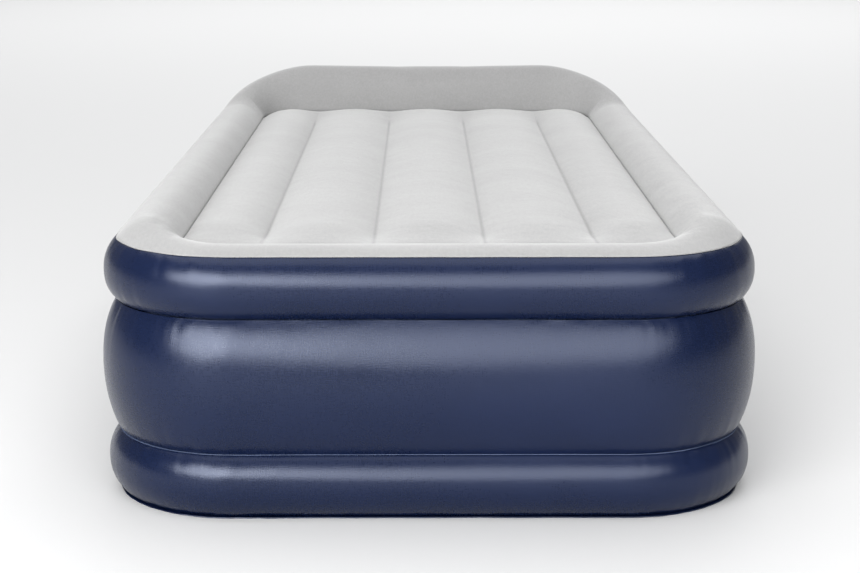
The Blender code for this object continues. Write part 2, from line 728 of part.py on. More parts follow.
def outlet_valve(frame, casing_surface, rubber, steel):
    """Outlet tube through the housing's back, closed by a hinged one-way flap."""
    place = (*OUTLET_CENTRE, 0.0)
    back = TUB_BACK - 0.0023
    profile = (
        (OUTLET_BORE, -0.1000),
        (OUTLET_TUBE, -0.1000),
        (OUTLET_TUBE, TUB_BACK - GAP),
        (0.0180, TUB_BACK - GAP),
        (0.0180, back),
        (OUTLET_BORE, back),
    )
    seat = make_piece("outlet_seat", turned(profile), casing_surface, frame, place)
    lugs = bmesh.new()
    for side in (-1, 1):
        add_block(lugs, (0.002, 0.014, 0.0095), (0.0138 * side, 0.0160, TUB_BACK - 0.0051))
    combine(seat, "UNION", lugs, "outlet_lugs", frame, place)
    across = Matrix.Rotation(pi / 2, 4, "Y")
    bore = bmesh.new()
    add_rod(bore, PIN_HOLE, 0.04, (0.0, FLAP_AXIS_V, FLAP_AXIS_W), across, 12)
    combine(seat, "DIFFERENCE", bore, "outlet_lug_bore", frame, place)

    hinge = (OUTLET_CENTRE[0], OUTLET_CENTRE[1] + FLAP_AXIS_V, FLAP_AXIS_W)
    sideways = (0.0, pi / 2, 0.0)
    leaf = hinged_plate(0.0350, 0.0120, 0.0015, -0.0004)
    bmesh.ops.rotate(leaf, verts=leaf.verts, cent=(0, 0, 0), matrix=Matrix.Rotation(-pi / 2, 3, "Z"))
    flap = make_piece("outlet_flap", leaf, rubber, frame, hinge, sideways)
    flap_bore = bmesh.new()
    add_rod(flap_bore, PIN_HOLE, 0.04, (0.0, 0.0, 0.0), across, 12)
    combine(flap, "DIFFERENCE", flap_bore, "flap_bore", frame, hinge)
    pin = bmesh.new()
    add_rod(pin, PIN_RADIUS, 0.0270, (0, 0, 0), steps=12)
    make_piece("flap_pin", pin, steel, frame, hinge, sideways)


def build_pump(middle_wall):
    """The pump and the window that it fills in the head wall."""
    light = principled("pump_light_plastic", (0.45, 0.46, 0.48), 0.45)
    dark = principled("pump_dark_plastic", (0.03, 0.035, 0.06), 0.40)
    black = principled("pump_black_plastic", (0.02, 0.02, 0.02), 0.50)
    rubber = principled("pump_rubber", (0.03, 0.03, 0.03), 0.80)
    steel = principled("pump_steel", (0.60, 0.60, 0.60), 0.30, 1.0)
    frame = pump_frame()
    window_half = (COLLAR_HALF[0] + GAP, COLLAR_HALF[1] + GAP)
    window = plate(pump_outline(window_half, 0.0183), -0.03, 0.03)
    combine(middle_wall, "DIFFERENCE", window, "pump_window", frame)
    pump_collar(frame, dark)
    faceplate(frame, dark)
    gasket(frame, rubber)
    housing(frame, black)
    screws(frame, steel)
    intake_grille(frame, light)
    cord_bay(frame, black)
    cord_gland(frame, rubber)
    cord_bay_door(frame, dark, steel)
    control_dial(frame, light, black)
    rocker_switch(frame, light, black)
    blower(frame, black, steel, dark)
    outlet_valve(frame, black, rubber, steel)


def main():
    clear_scene()
    flock = principled("grey_flock", (0.70, 0.70, 0.70), 0.95)
    vinyl = principled("navy_vinyl", (0.020, 0.030, 0.090), 0.38)
    inner_vinyl = principled("inner_vinyl", (0.55, 0.57, 0.60), 0.45)
    middle_wall = build_bed(flock, vinyl, inner_vinyl)
    build_pump(middle_wall)


main()
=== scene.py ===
"""Looks of the raised single air bed: inflated vinyl tiers, flocked top, welds and pump.

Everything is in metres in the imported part's frame: X across the bed, +Y towards the head end and
+Z up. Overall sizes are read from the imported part's boxes.
"""

import json
from math import cos, pi, radians, sin, sqrt

import bmesh
import bpy
import numpy as np
from mathutils import Matrix, Vector


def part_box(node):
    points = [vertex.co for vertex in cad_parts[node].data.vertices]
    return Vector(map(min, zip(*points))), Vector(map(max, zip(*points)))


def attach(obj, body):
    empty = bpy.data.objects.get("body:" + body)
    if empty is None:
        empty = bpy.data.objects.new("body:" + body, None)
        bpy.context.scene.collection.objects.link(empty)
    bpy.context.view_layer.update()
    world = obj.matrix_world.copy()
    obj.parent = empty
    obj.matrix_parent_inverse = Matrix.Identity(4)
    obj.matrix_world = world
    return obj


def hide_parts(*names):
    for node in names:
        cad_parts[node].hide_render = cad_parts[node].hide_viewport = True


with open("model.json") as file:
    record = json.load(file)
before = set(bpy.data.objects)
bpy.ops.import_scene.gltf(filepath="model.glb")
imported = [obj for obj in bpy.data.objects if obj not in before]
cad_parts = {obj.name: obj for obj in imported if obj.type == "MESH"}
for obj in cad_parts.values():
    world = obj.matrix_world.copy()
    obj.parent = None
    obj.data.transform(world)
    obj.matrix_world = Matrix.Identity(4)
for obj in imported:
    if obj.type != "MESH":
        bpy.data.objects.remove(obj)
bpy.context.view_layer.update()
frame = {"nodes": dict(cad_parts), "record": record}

BED = "bed"

# Plan of the bed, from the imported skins
HALF_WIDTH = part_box("middle_wall")[1].x
HALF_LENGTH = -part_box("middle_wall")[0].y
CORNER_RADIUS = 0.207
CORNER_X = HALF_WIDTH - CORNER_RADIUS
CORNER_Y = HALF_LENGTH - CORNER_RADIUS

# Welds between the skins: their heights, their insets from the plan's outline, and how far each
# skin's edge stops above or below its weld
SEAM_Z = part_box("upper_wall")[1].z
SEAM_INSET = HALF_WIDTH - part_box("border_and_pillow")[1].x
UPPER_WAIST_Z = (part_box("upper_wall")[0].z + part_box("middle_wall")[1].z) / 2
LOWER_WAIST_Z = (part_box("middle_wall")[0].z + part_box("lower_wall")[1].z) / 2
WAIST_INSET = 0.023
FLOOR_WELD_Z = 0.002
FLOOR_INSET = 0.026
WELD_CLEARANCE = 0.0006

# Inset and height of each tier where it is widest
UPPER_BULGE = (HALF_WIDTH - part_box("upper_wall")[1].x, 0.329)
MIDDLE_BULGE = (0.0, 0.192)
LOWER_BULGE = (HALF_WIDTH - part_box("lower_wall")[1].x, 0.047)

# A tier below and above its widest height: the power of its curve, and the share of its inset
# that is a tuck close to the weld, with the power that makes it sharp
CURVE_BELOW, CURVE_ABOVE = 2.1, 2.5
TUCK_BELOW, TUCK_ABOVE = 0.16, 0.05
TUCK_POWER = 8

# Gathers at a weld: height along the sides, what the corners add to it, how far they run into
# the skin and how soon they start, and how far along a side a corner's gathers fade
GATHER_HEIGHT = 0.0004
CORNER_GATHER_HEIGHT = 0.0017
GATHER_REACH, GATHER_REACH_SPREAD, GATHER_REACH_LEAST = 0.014, 0.010, 0.004
GATHER_ONSET = 0.003
CORNER_FADE = 0.14

# Recess for the sleeper, with its crease, which is higher along the foot end
RECESS_HALF_WIDTH = 0.365
RECESS_FOOT_Y = -0.830
RECESS_HEAD_Y = 0.790
RECESS_CORNER = 0.090
VALLEY_Z = 0.367
FOOT_CREASE_RISE = 0.008
FOOT_CREASE_LENGTH = 0.13

# Channels: the seams; the crown between them, which yields where the crease is higher and dies
# away over a stretch from each end; how much higher it is cut; and the nearly level part that
# lies past the seams' ends
CHANNEL_PITCH = 0.162
SEAM_LINES = tuple(CHANNEL_PITCH * step for step in (-1.5, -0.5, 0.5, 1.5))
SEAM_HEAD_Y = 0.610
CROWN = 0.018
CROWN_YIELD = 0.6
CUT_CROWN = 1.12
FOOT_STRETCH = (-0.030, 0.140)
HEAD_STRETCH = (0.0, 0.055)
PAST_SEAM_Y = (SEAM_HEAD_Y - 0.070, RECESS_HEAD_Y - 0.020)
PAST_SEAM_MARGIN = 0.050
PAST_SEAM_LEVEL, PAST_SEAM_SWELL = 0.58, 0.30
RIPPLE_HEIGHT = 0.0007

# Level sheets, whose rims show in the waists and at the floor
UPPER_INSET = WAIST_INSET + 0.0022
LOWER_INSET = WAIST_INSET - 0.0006
GROUND_INSET = FLOOR_INSET - 0.0045
INNER_HALF_THICKNESS = 0.0004
GROUND_LOW_Z, GROUND_HIGH_Z = 0.0001, 0.0014
VENT_RADIUS = 0.030
VENT_X = (-CHANNEL_PITCH, 0.0, CHANNEL_PITCH)
VENT_Y = (-0.52, 0.52)

# Border: its crown's rise along the foot, what the sides add and where, how far its edge reaches
# past the seam and wavers, and how deep its dents are
FOOT_RISE = 0.009
SIDE_RISE_GAIN = 0.021
SIDE_RISE_Y = (-0.88, -0.74)
SEAM_LIP, SEAM_WAVER = 0.0012, 0.0007
DENT_DEPTH = 0.0008

# Pillow: where it starts and is full, how its shoulders fall, and its base line over the valley
PILLOW_TOP_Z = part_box("border_and_pillow")[1].z
PILLOW_Y = (0.66, 0.87)
SHOULDER_X = (0.26, 0.44)
SHOULDER_FALL = 0.4
PILLOW_BASE = 0.0055
PILLOW_FULLNESS = 0.85

# Pump's window in the head wall, and the stretches over which the wall is drawn to it
COLLAR_LOW, COLLAR_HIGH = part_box("pump_collar")
COLLAR_FRONT_Y = COLLAR_HIGH.y
WINDOW_GAP = 0.0003
WINDOW_X = (COLLAR_LOW.x + COLLAR_HIGH.x) / 2
WINDOW_Z = (COLLAR_LOW.z + COLLAR_HIGH.z) / 2
WINDOW_HALF = (
    (COLLAR_HIGH.x - COLLAR_LOW.x) / 2 + WINDOW_GAP,
    (COLLAR_HIGH.z - COLLAR_LOW.z) / 2 + WINDOW_GAP,
)
WINDOW_CORNER = 0.0183
WINDOW_CUT_Y = (0.90, 0.99)
WALL_SET_BACK = 0.0015
PULL_FROM_WINDOW = (0.002, 0.045)
PULL_UP_AND_DOWN = (0.0775, 0.0955)

# Columns round the bed and rows up or along each skin, before subdivision
CORNER_COLUMNS = 54
LONG_COLUMNS = 96
SHORT_COLUMNS = 40
OUTER_TIER_ROWS = 17
MIDDLE_TIER_ROWS = 25
BORDER_ROWS = 17
CHANNEL_ROWS = 112
CHANNEL_STEPS = 14
SKIN_THICKNESS = 0.0010

# Inflation: frames, solver steps, pressures, and the furthest that a point may move
FRAMES = 18
QUALITY = 5
TIER_PRESSURE, FLOCK_PRESSURE = 5.0, 3.0
TIER_CAP, BORDER_CAP, CHANNEL_CAP = 0.006, 0.005, 0.006


# ---------------------------------------------------------------------------- plan


def smoothstep(value, start, end):
    """Rise smoothly from 0 at `start` to 1 at `end`."""
    part = np.clip((value - start) / (end - start), 0.0, 1.0)
    return part * part * (3.0 - 2.0 * part)


class Plan:
    """Rounded rectangle in columns: a foot on its inner rectangle and an outward normal for each."""

    def __init__(self, half_x, low_y, high_y, radius):
        self.radius = radius
        right, left = half_x - radius, radius - half_x
        low, high = low_y + radius, high_y - radius
        corners = ((right, low, -90), (right, high, 0), (left, high, 90), (left, low, 180))
        steps = (LONG_COLUMNS, SHORT_COLUMNS, LONG_COLUMNS, SHORT_COLUMNS)
        feet, turns = [], []
        for number, (x, y, start) in enumerate(corners):
            next_x, next_y, _ = corners[(number + 1) % 4]
            for step in range(CORNER_COLUMNS + 1):
                feet.append((x, y))
                turns.append(start + 90.0 * step / CORNER_COLUMNS)
            for step in range(1, steps[number]):
                part = step / steps[number]
                feet.append((x + (next_x - x) * part, y + (next_y - y) * part))
                turns.append(start + 90.0)
        self.feet = np.array(feet)
        angles = np.radians(turns)
        self.normals = np.stack((np.cos(angles), np.sin(angles)), axis=1)
        self.count = len(feet)

    def outline(self, inset):
        """Plan points at an inset, which is one number or one for each column."""
        reach = self.radius - np.asarray(inset, float)
        return self.feet + self.normals * np.reshape(reach, (-1, 1))

    def run(self):
        """Length along the outline to each column, and the whole way round."""
        points = self.outline(0.0)
        steps = np.linalg.norm(np.roll(points, -1, axis=0) - points, axis=1)
        return np.concatenate(((0.0,), np.cumsum(steps)))

    def places(self, across=0.0):
        """Places of the columns in a band unrolled along the outline, for random waves."""
        return np.stack((self.run()[:-1], np.full(self.count, across)), axis=1)


BED_PLAN = Plan(HALF_WIDTH, -HALF_LENGTH, HALF_LENGTH, CORNER_RADIUS)
RECESS_PLAN = Plan(RECESS_HALF_WIDTH, RECESS_FOOT_Y, RECESS_HEAD_Y, RECESS_CORNER)


def corner_share():
    """For each column, 1 in the rounded corners, falling to 0 along the straight sides."""
    most_on_side = 0.75
    turned = np.abs(BED_PLAN.normals[:, 0] * BED_PLAN.normals[:, 1]) * 2.0
    inside = np.clip(turned * 3.0, 0.0, 1.0)
    beyond_x = np.clip(1.0 - (CORNER_X - np.abs(BED_PLAN.feet[:, 0])) / CORNER_FADE, 0.0, 1.0)
    beyond_y = np.clip(1.0 - (CORNER_Y - np.abs(BED_PLAN.feet[:, 1])) / CORNER_FADE, 0.0, 1.0)
    return np.maximum(inside, most_on_side * np.minimum(beyond_x, beyond_y))


def wander(points, seed, scale, octaves=3):
    """Smooth random wave, about -1 to 1, over points of any dimension; the same for each run."""
    waves, peak = 5, 1.6
    draw = np.random.default_rng(seed)
    total = np.zeros(len(points))
    weight = 1.0
    size = 0.0
    for octave in range(octaves):
        for _ in range(waves):
            direction = draw.normal(size=points.shape[1])
            direction /= np.linalg.norm(direction)
            pitch = scale * 2.0**octave * draw.uniform(0.7, 1.3)
            total += weight * np.sin(2 * pi * pitch * (points @ direction) + draw.uniform(0, 2 * pi))
        size += weight * sqrt(waves / 2)
        weight *= 0.5
    return total / (peak * size)


# ---------------------------------------------------------------------------- meshes


def link(name, mesh):
    """Put a mesh in the scene as an object."""
    piece = bpy.data.objects.new(name, mesh)
    bpy.context.scene.collection.objects.link(piece)
    return piece


def grid_faces(rows, columns, closed):
    """Quads over rows of points; `closed` joins the last column to the first."""
    across = columns if closed else columns - 1
    row, column = np.meshgrid(np.arange(rows - 1), np.arange(across), indexing="ij")
    right = (column + 1) % columns
    quads = (row * columns + column, row * columns + right, (row + 1) * columns + right)
    return np.stack((*quads, (row + 1) * columns + column), axis=-1).reshape(-1, 4)


def grid_mesh(name, points, closed, weave):
    """Mesh over a (rows, columns, 3) array, with `weave` metres along and up it as its UV map."""
    rows, columns, _ = points.shape
    faces = grid_faces(rows, columns, closed)
    mesh = bpy.data.meshes.new(name)
    mesh.from_pydata(points.reshape(-1, 3).tolist(), [], faces.tolist())
    along, up = weave
    row, column = faces[:, 0] // columns, faces[:, 0] % columns
    u = along[column[:, None] + np.array((0, 1, 1, 0))]
    v = up[row[:, None] + np.array((0, 0, 1, 1))]
    layer = mesh.uv_layers.new(name="weave")
    layer.data.foreach_set("uv", np.stack((u, v), axis=-1).ravel())
    mesh.shade_smooth()
    return mesh


def lengths(points):
    """Length along a run of points to each of them."""
    steps = np.linalg.norm(np.diff(points, axis=0), axis=1)
    return np.concatenate(((0.0,), np.cumsum(steps)))


def mesh_of(bm, name):
    """Turn an edit mesh into a mesh."""
    mesh = bpy.data.meshes.new(name)
    bm.to_mesh(mesh)
    bm.free()
    return mesh


def add_cut(piece, bm, name):
    """Set a closed body to be cut out of a piece, and return it, to be removed after the cut."""
    cutter = link(name, mesh_of(bm, name))
    modifier = piece.modifiers.new(name, "BOOLEAN")
    modifier.solver = "EXACT"
    modifier.object = cutter
    return cutter


def apply_modifiers(piece):
    """Keep the shape that the piece's modifiers give it."""
    bpy.context.view_layer.update()
    shown = piece.evaluated_get(bpy.context.evaluated_depsgraph_get())
    mesh = bpy.data.meshes.new_from_object(shown)
    piece.modifiers.clear()
    piece.data = mesh
    return piece


def finish_skin(piece):
    """Subdivide a skin once and give it its thickness, inwards, so that it is a closed body."""
    smooth = piece.modifiers.new("smooth", "SUBSURF")
    smooth.levels = 1
    smooth.render_levels = 1
    solid = piece.modifiers.new("solid", "SOLIDIFY")
    solid.thickness = SKIN_THICKNESS
    solid.offset = -1.0
    return apply_modifiers(piece)


# ---------------------------------------------------------------------------- inflation


class Skin:
    """An open skin that is inflated by the cloth simulation, held where it is welded."""

    def __init__(self, name, start, rest, held, closed, weave, cap, pressure, gathers=None):
        self.name = name
        self.gathers = gathers
        self.start = start
        self.closed = closed
        self.weave = weave
        self.cap = cap
        self.piece = link(name, grid_mesh(name, start, closed, weave))
        self.add_cloth(rest, held, pressure)

    def add_cloth(self, rest, held, pressure):
        """Give the skin its cut size as the cloth's resting size, and its welds as pins."""
        piece = self.piece
        piece.shape_key_add(name="welded", from_mix=False)
        cut = piece.shape_key_add(name="cut", from_mix=False)
        cut.data.foreach_set("co", rest.reshape(-1, 3).ravel())
        pins = piece.vertex_groups.new(name="welds")
        pins.add(np.flatnonzero(held.ravel()).tolist(), 1.0, "REPLACE")
        cloth = piece.modifiers.new("cloth", "CLOTH")
        settings = cloth.settings
        settings.rest_shape_key = cut
        settings.vertex_group_mass = "welds"
        settings.quality = QUALITY
        settings.mass = 0.2
        settings.air_damping = 2.0
        settings.tension_stiffness = 40.0
        settings.compression_stiffness = 40.0
        settings.shear_stiffness = 20.0
        settings.bending_stiffness = 0.05
        settings.tension_damping = 12.0
        settings.compression_damping = 12.0
        settings.use_pressure = True
        settings.uniform_pressure_force = pressure
        settings.effector_weights.gravity = 0.0
        cloth.collision_settings.use_collision = False
        cloth.point_cache.frame_start = 1
        cloth.point_cache.frame_end = FRAMES

    def keep(self):
        """Take the inflated shape, with no point further from its start than the cap."""
        shown = self.piece.evaluated_get(bpy.context.evaluated_depsgraph_get())
        found = np.zeros(self.start.size)
        shown.data.vertices.foreach_get("co", found)
        moved = found.reshape(self.start.shape) - self.start
        size = np.linalg.norm(moved, axis=-1, keepdims=True)
        limited = self.cap * np.tanh(size / self.cap)
        return self.sculpt(self.start + moved * limited / np.maximum(size, 1e-9))

    def sculpt(self, points):
        """Add the small gathers that a weld pulls into the skin."""
        if self.gathers is None:
            return points
        outward = np.zeros(points.shape[1:])
        outward[:, :2] = BED_PLAN.normals
        return points + outward * self.gathers[:, :, None]

    def replace_mesh(self, points):
        """Swap the simulated object for a plain one of the final shape."""
        bpy.data.objects.remove(self.piece, do_unlink=True)
        self.piece = link(self.name, grid_mesh(self.name, points, self.closed, self.weave))
        return self.piece


def run_inflation():
    """Step the cloth of every skin together."""
    for number in range(1, FRAMES + 1):
        bpy.context.scene.frame_set(number)


# ---------------------------------------------------------------------------- tiers


def tier_profile(low, bulge, high, rows):
    """(inset, height) rows, closer together at the welds, of a tier that swells between two."""
    even = np.linspace(-1.0, 1.0, rows)
    part = 0.55 * np.sin(even * pi / 2) + 0.45 * even
    size = np.abs(part)
    below = part < 0
    tuck = np.where(below, TUCK_BELOW, TUCK_ABOVE)
    swell = (1.0 - tuck) * size ** np.where(below, CURVE_BELOW, CURVE_ABOVE)
    turn_in = swell + tuck * (1.0 - np.sqrt(np.clip(1.0 - size**TUCK_POWER, 0.0, 1.0)))
    end = np.where(below, low[0], high[0])
    end_z = np.where(below, low[1], high[1])
    return bulge[0] + (end - bulge[0]) * turn_in, bulge[1] + (end_z - bulge[1]) * size


def weld_gathers(up, seed):
    """Small folds that run from each weld into the skin, strongest at the bed's corners."""
    along = BED_PLAN.places()
    gathers = np.zeros((len(up), BED_PLAN.count))
    height = GATHER_HEIGHT + CORNER_GATHER_HEIGHT * corner_share()
    for number, from_weld in enumerate((up, up[-1] - up)):
        folds = wander(along, seed + number, 30.0, 2)
        reach = GATHER_REACH + GATHER_REACH_SPREAD * wander(along, seed + 7 + number, 9.0, 1)
        reach = np.maximum(reach, GATHER_REACH_LEAST)
        for row, distance in enumerate(from_weld):
            fade = np.exp(-distance / reach) * (1.0 - np.exp(-distance / GATHER_ONSET))
            gathers[row] += height * folds * fade
    return gathers


def tier(name, low, bulge, high, rows, seed):
    """A skin swelling between two welds, cut as a straight band, so that it gathers at corners."""
    inset, height = tier_profile(low, bulge, high, rows)
    start = np.zeros((rows, BED_PLAN.count, 3))
    cut = np.zeros_like(start)
    up = lengths(np.stack((inset, height), axis=1))
    band = BED_PLAN.outline(bulge[0])
    for row in range(rows):
        start[row, :, :2] = BED_PLAN.outline(inset[row])
        start[row, :, 2] = height[row]
        cut[row, :, :2] = band
        cut[row, :, 2] = low[1] + up[row]
    held = np.zeros(start.shape[:2], bool)
    held[0] = held[-1] = True
    weave = (BED_PLAN.run(), up)
    gathers = weld_gathers(up, seed)
    return Skin(name, start, cut, held, True, weave, TIER_CAP, TIER_PRESSURE, gathers)


def pull_to_collar(points):
    """Draw the head wall flat to the pump's collar, which is welded into it."""
    from_middle = np.abs(points[:, :, 2] - WINDOW_Z)
    across = np.abs(points[:, :, 0] - WINDOW_X) - (WINDOW_HALF[0] - WINDOW_CORNER)
    up = from_middle - (WINDOW_HALF[1] - WINDOW_CORNER)
    outside = np.hypot(np.maximum(across, 0.0), np.maximum(up, 0.0))
    apart = outside + np.minimum(np.maximum(across, up), 0.0) - WINDOW_CORNER
    share = 1.0 - smoothstep(apart, *PULL_FROM_WINDOW)
    share = share * (1.0 - smoothstep(from_middle, *PULL_UP_AND_DOWN))
    share = share * (points[:, :, 1] > 0.0)
    points[:, :, 1] += share * (COLLAR_FRONT_Y - WALL_SET_BACK - points[:, :, 1])


def window_outline(steps=8):
    """The window's rounded corners, each in equal steps, as (x, z) places."""
    rounds = []
    for x_side, z_side, start in ((1, 1, 0), (-1, 1, 90), (-1, -1, 180), (1, -1, 270)):
        for step in range(steps + 1):
            angle = radians(start + 90.0 * step / steps)
            x = WINDOW_X + x_side * (WINDOW_HALF[0] - WINDOW_CORNER) + WINDOW_CORNER * cos(angle)
            z = WINDOW_Z + z_side * (WINDOW_HALF[1] - WINDOW_CORNER) + WINDOW_CORNER * sin(angle)
            rounds.append((x, z))
    return rounds


def cut_window(piece):
    """Cut the collar's window through the head wall."""
    rounds = window_outline()
    bm = bmesh.new()
    loops = [[bm.verts.new((x, y, z)) for x, z in rounds] for y in WINDOW_CUT_Y]
    for number in range(len(rounds)):
        bm.faces.new((loops[0][number - 1], loops[0][number], loops[1][number], loops[1][number - 1]))
    bm.faces.new(loops[1])
    bm.faces.new(reversed(loops[0]))
    bmesh.ops.recalc_face_normals(bm, faces=bm.faces[:])
    cutter = add_cut(piece, bm, "window")
    apply_modifiers(piece)
    piece.data.set_sharp_from_angle(angle=radians(50.0))
    bpy.data.objects.remove(cutter, do_unlink=True)


# ---------------------------------------------------------------------------- flocked top


def border_profile(part, rise, pillow):
    """Share of the way across and height above the base line at a part of the border's crown."""
    fuller = PILLOW_FULLNESS * pillow
    across = part + ((1.0 - np.cos(pi * part)) / 2.0 - part) * fuller
    return across, rise * np.sin(pi * part)


def pillow_share(crest_x, crest_y):
    """For each column, how far the border swells into the pillow, less at its shoulders."""
    shoulder = 1.0 - SHOULDER_FALL * smoothstep(np.abs(crest_x), *SHOULDER_X)
    return smoothstep(crest_y, *PILLOW_Y) * shoulder


def crown_rise(crest_y, pillow):
    """For each column, the rise of the border's crown above its base line."""
    side_rise = FOOT_RISE + SIDE_RISE_GAIN * smoothstep(crest_y, *SIDE_RISE_Y)
    return side_rise + (PILLOW_TOP_Z - VALLEY_Z - PILLOW_BASE - side_rise) * pillow


def border_dents(parts, pillow):
    """Shallow folds along the border's inner slope, half as deep on the pillow."""
    middle_part, spread = 0.78, 0.13
    dents = np.zeros((len(parts), BED_PLAN.count))
    for row, part in enumerate(parts):
        folds = wander(BED_PLAN.places(0.6 * part), 43, 7.0, 3)
        band = np.exp(-(((part - middle_part) / spread) ** 2))
        dents[row] = DENT_DEPTH * folds * band * (1.0 - 0.5 * pillow)
    return dents


def border():
    """Flocked border and pillow bolster from the top seam over the crown to the recess crease."""
    parts = np.linspace(0.0, 1.0, BORDER_ROWS)
    waver = SEAM_WAVER * wander(BED_PLAN.places(), 41, 13.0, 2)
    seam = BED_PLAN.outline(SEAM_INSET - SEAM_LIP + waver)
    crease = RECESS_PLAN.outline(0.0)
    crest_x, crest_y = ((seam + crease) / 2).T
    pillow = pillow_share(crest_x, crest_y)
    rise = crown_rise(crest_y, pillow)
    fall = crease_height(crease[:, 1]) - SEAM_Z
    points = np.zeros((BORDER_ROWS, BED_PLAN.count, 3))
    for row, part in enumerate(parts):
        across, height = border_profile(part, rise, pillow)
        points[row, :, :2] = seam + (crease - seam) * across[:, None]
        points[row, :, 2] = SEAM_Z + WELD_CLEARANCE + fall * across + height
    held = np.zeros(points.shape[:2], bool)
    held[0] = held[-1] = True
    weave = (BED_PLAN.run(), lengths(points[:, 0]))
    dents = border_dents(parts, pillow)
    return Skin(
        "flocked_border", points, points.copy(), held, True, weave, BORDER_CAP, FLOCK_PRESSURE, dents
    )


def crease_height(y):
    """Height of the recess's crease, which lies higher along the foot end."""
    beyond = smoothstep(y, RECESS_FOOT_Y, RECESS_FOOT_Y + FOOT_CREASE_LENGTH)
    return VALLEY_Z + FOOT_CREASE_RISE * (1.0 - beyond)


def recess_reach(x, end_y, direction):
    """Y of the sleeping surface's edge at x, following the recess's rounded corners."""
    into_corner = np.maximum(0.0, np.abs(x) - (RECESS_HALF_WIDTH - RECESS_CORNER))
    depth = RECESS_CORNER - np.sqrt(np.maximum(0.0, RECESS_CORNER**2 - into_corner**2))
    return end_y - direction * depth


def channel_columns():
    """X of the sleeping surface's columns, closest together at the seams, and the part of a channel."""
    lines = (-RECESS_HALF_WIDTH, *SEAM_LINES, RECESS_HALF_WIDTH)
    x, part = [], []
    for low, high in zip(lines, lines[1:]):
        for step in range(CHANNEL_STEPS):
            share = (1.0 - cos(pi * step / CHANNEL_STEPS)) / 2.0
            x.append(low + (high - low) * share)
            part.append(share)
    return np.array(x + [lines[-1]]), np.array(part + [0.0])


def seam_ripples(x, part, along):
    """Small cross folds that each seam draws into the sheet beside it."""
    closeness, stretch = 8.0, 0.4
    pitch = np.minimum(part, 1.0 - part)
    beside = closeness * pitch * np.exp(-closeness * pitch)
    place = np.stack((np.broadcast_to(x * stretch, along.shape), along), axis=-1).reshape(-1, 2)
    return RIPPLE_HEIGHT * beside * wander(place, 51, 16.0, 2).reshape(along.shape)


def channel_arch(x, part, along):
    """Height of the channels' cross-section, 0 to 1, which levels out past the seams' ends."""
    past_seam = smoothstep(along, *PAST_SEAM_Y)
    past_seam = past_seam * smoothstep(RECESS_HALF_WIDTH - np.abs(x), 0.0, PAST_SEAM_MARGIN)
    swell = np.sin(pi * part)
    level = PAST_SEAM_LEVEL + PAST_SEAM_SWELL * swell**2
    return (1.0 - past_seam) * swell**0.75 + past_seam * level


def channel_rows(foot, head):
    """Y of the sleeping surface's rows, closer together towards its two ends."""
    share = np.linspace(0.0, 1.0, CHANNEL_ROWS)
    share = 0.45 * (1.0 - np.cos(pi * share)) / 2.0 + 0.55 * share
    return foot + (head - foot) * share[:, None]


def sleeping_surface():
    """Flocked sheet held down along four seams that stop short of the pillow."""
    x, part = channel_columns()
    foot = recess_reach(x, RECESS_FOOT_Y, -1.0)
    head = recess_reach(x, RECESS_HEAD_Y, 1.0)
    along = channel_rows(foot, head)
    ends = smoothstep(along - foot, *FOOT_STRETCH), smoothstep(head - along, *HEAD_STRETCH)
    base = crease_height(along)
    height = CROWN - CROWN_YIELD * (base - VALLEY_Z)
    crown = height * ends[0] * ends[1] * channel_arch(x, part, along)
    ripples = seam_ripples(x, part, along) * ends[0] * ends[1]
    points = np.stack((np.broadcast_to(x, along.shape), along, base + crown + ripples), axis=-1)
    cut = points.copy()
    cut[:, :, 2] = base + CUT_CROWN * crown + ripples
    held = np.zeros(along.shape, bool)
    held[0] = held[-1] = True
    held[:, 0] = held[:, -1] = True
    for line in SEAM_LINES:
        held[:, np.argmin(np.abs(x - line))] = True
    weave = (lengths(np.stack((x, 0 * x), axis=1)), lengths(points[:, len(x) // 2]))
    return Skin("flocked_channels", points, cut, held, False, weave, CHANNEL_CAP, FLOCK_PRESSURE)


# ---------------------------------------------------------------------------- flat sheets


def trimmed_edge(seed):
    """For each column, how far the rim strays where it was trimmed, most at the corners."""
    place = BED_PLAN.places()
    slow = 0.0007 * wander(place, seed, 9.0)
    return slow + 0.0005 * corner_share() * wander(place, seed + 1, 34.0, 2)


def flat_sheet(name, inset, low, high, seed, vents=(), corner_reach=0.0016):
    """Level sheet with an uneven rounded rim, which reaches further at the corners, and vents."""
    middle = (low + high) / 2
    rim = ((0.0012, low), (0.0003, low), (0.0, middle), (0.0003, high), (0.0012, high))
    trim = trimmed_edge(seed)
    bm = bmesh.new()
    loops = []
    for back, height in rim:
        outline = BED_PLAN.outline(inset - corner_reach * corner_share() + trim + back)
        loops.append([bm.verts.new((x, y, height)) for x, y in outline])
    for here, there in zip(loops, loops[1:]):
        for number, vert in enumerate(here):
            bm.faces.new((here[number - 1], vert, there[number], there[number - 1]))
    bm.faces.new(reversed(loops[0]))
    bm.faces.new(loops[-1])
    sheet = link(name, mesh_of(bm, name))
    cutters = [cut_vent(sheet, (x, y, middle), f"{name}_cut_{n}") for n, (x, y) in enumerate(vents)]
    apply_modifiers(sheet)
    for cutter in cutters:
        bpy.data.objects.remove(cutter, do_unlink=True)
    return sheet


def cut_vent(sheet, centre, name):
    """Cut a round vent through a level sheet, and return the cutting body."""
    bm = bmesh.new()
    bmesh.ops.create_cone(
        bm,
        cap_ends=True,
        segments=48,
        radius1=VENT_RADIUS,
        radius2=VENT_RADIUS,
        depth=0.02,
        matrix=Matrix.Translation(centre),
    )
    return add_cut(sheet, bm, name)


